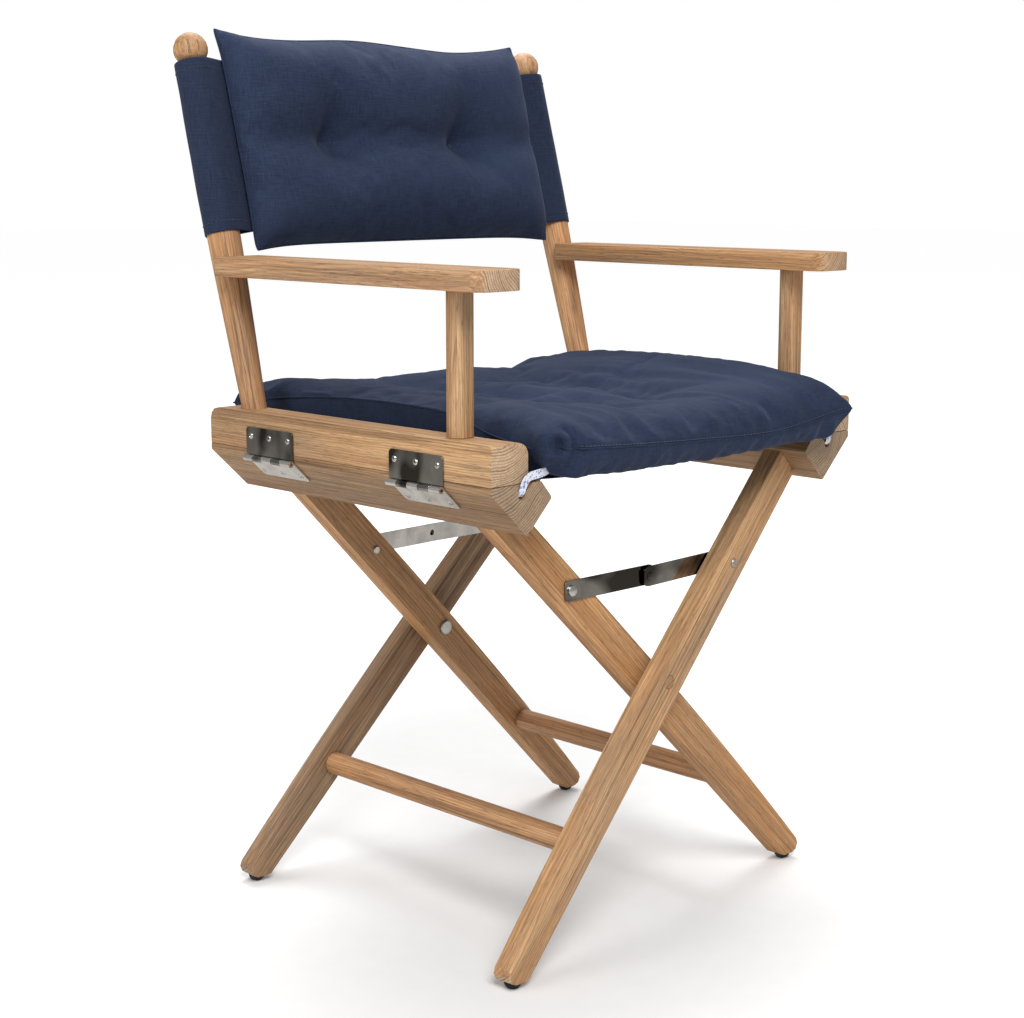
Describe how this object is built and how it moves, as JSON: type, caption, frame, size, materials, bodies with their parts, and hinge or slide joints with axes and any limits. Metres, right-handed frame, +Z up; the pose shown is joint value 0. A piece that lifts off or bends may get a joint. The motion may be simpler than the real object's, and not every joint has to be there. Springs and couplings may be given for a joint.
{
  "type": "folding director chair",
  "caption": "Folding director chair: crossed wooden legs, flat armrests, raked back posts with ball tips, and quilted navy cushions on a fabric seat and back.",
  "frame": {"origin": "on the floor, at the centre of the bounding box, between the four feet", "axes": "+Z up; the chair faces -Y; +X is the sitter's left"},
  "size_m": [0.5448, 0.514, 0.8883],
  "materials": {
    "wood": "oiled teak, open grain, satin",
    "steel": "polished stainless steel",
    "cloth": "navy plain-weave outdoor canvas",
    "rubber": "moulded black rubber",
    "webbing": "white woven webbing"
  },
  "bodies": {
    "frame_left": {"foot_pad_left_front": "rubber", "foot_pad_left_rear": "rubber", "hinge_lower_leaf_left_front": "steel", "hinge_lower_leaf_left_rear": "steel", "hinge_pin_left_front": "steel", "hinge_pin_left_rear": "steel", "leg_left_front": "wood", "leg_left_rear": "wood", "lower_rail_left": "wood", "pivot_bolt_front": "steel", "pivot_bolt_rear": "steel", "pivot_plug_front": "wood", "pivot_plug_rear": "wood", "pivot_spacer_front": "steel", "pivot_spacer_rear": "steel", "seat_cushion": "cloth", "seat_sling": "cloth", "sling_rod_left": "steel", "stay_bolt_left_front": "steel", "stay_bolt_left_rear": "steel", "stretcher_left": "wood", "webbing_tab_left": "webbing"},
    "frame_right": {"foot_pad_right_front": "rubber", "foot_pad_right_rear": "rubber", "hinge_lower_leaf_right_front": "steel", "hinge_lower_leaf_right_rear": "steel", "hinge_pin_right_front": "steel", "hinge_pin_right_rear": "steel", "leg_right_front": "wood", "leg_right_rear": "wood", "lower_rail_right": "wood", "sling_rod_right": "steel", "stay_bolt_right_front": "steel", "stay_bolt_right_rear": "steel", "stretcher_right": "wood", "webbing_tab_right": "webbing"},
    "arm_left": {"armrest_left": "wood", "back_cushion": "cloth", "back_post_left": "wood", "back_sleeve_left": "cloth", "back_sling_panel": "cloth", "front_post_left": "wood", "hinge_upper_leaf_left_front": "steel", "hinge_upper_leaf_left_rear": "steel", "upper_rail_left": "wood"},
    "arm_right": {"armrest_right": "wood", "back_post_right": "wood", "back_sleeve_right": "cloth", "front_post_right": "wood", "hinge_upper_leaf_right_front": "steel", "hinge_upper_leaf_right_rear": "steel", "upper_rail_right": "wood"},
    "stay_left_front": {"stay_link_left_front": "steel", "stay_rivet_front": "steel"},
    "stay_left_rear": {"stay_link_left_rear": "steel", "stay_rivet_rear": "steel"},
    "stay_right_front": {"stay_link_right_front": "steel"},
    "stay_right_rear": {"stay_link_right_rear": "steel"}
  },
  "joints": [
    {"name": "scissor_fold", "type": "hinge", "parent": "frame_left", "child": "frame_right", "pos_m": [0, -0.011, 0.248], "axis": [0, 1, 0], "range_deg": [0, 75], "deforming": ["seat_sling", "seat_cushion", "back_sling_panel", "back_cushion"]},
    {"name": "arm_hinge_left", "type": "hinge", "parent": "frame_left", "child": "arm_left", "pos_m": [0.2691, -0.011, 0.46795], "axis": [0, 1, 0], "range_deg": [0, 37.5]},
    {"name": "arm_hinge_right", "type": "hinge", "parent": "frame_right", "child": "arm_right", "pos_m": [-0.2691, -0.011, 0.46795], "axis": [0, 1, 0], "range_deg": [-37.5, 0]},
    {"name": "stay_pivot_left_front", "type": "hinge", "parent": "frame_left", "child": "stay_left_front", "pos_m": [0.106, -0.18152, 0.352], "axis": [-0.0333, 0.9989, -0.0331], "range_deg": [-41.2, 0]},
    {"name": "stay_pivot_left_rear", "type": "hinge", "parent": "frame_left", "child": "stay_left_rear", "pos_m": [0.106, 0.15952, 0.352], "axis": [0.0333, 0.9989, 0.0331], "range_deg": [-41.2, 0]},
    {"name": "stay_pivot_right_front", "type": "hinge", "parent": "frame_right", "child": "stay_right_front", "pos_m": [-0.106, -0.15252, 0.352], "axis": [0.0333, 0.9989, -0.0331], "range_deg": [0, 41.2]},
    {"name": "stay_pivot_right_rear", "type": "hinge", "parent": "frame_right", "child": "stay_right_rear", "pos_m": [-0.106, 0.13052, 0.352], "axis": [-0.0333, 0.9989, 0.0331], "range_deg": [0, 41.2]}
  ],
  "couplings": [
    {"joint": "arm_hinge_left", "follows": "scissor_fold", "ratio": 0.5},
    {"joint": "arm_hinge_right", "follows": "scissor_fold", "ratio": -0.5},
    {"joint": "stay_pivot_left_front", "follows": "scissor_fold", "ratio": -0.549},
    {"joint": "stay_pivot_left_rear", "follows": "scissor_fold", "ratio": -0.549},
    {"joint": "stay_pivot_right_front", "follows": "scissor_fold", "ratio": 0.549},
    {"joint": "stay_pivot_right_rear", "follows": "scissor_fold", "ratio": 0.549}
  ]
}
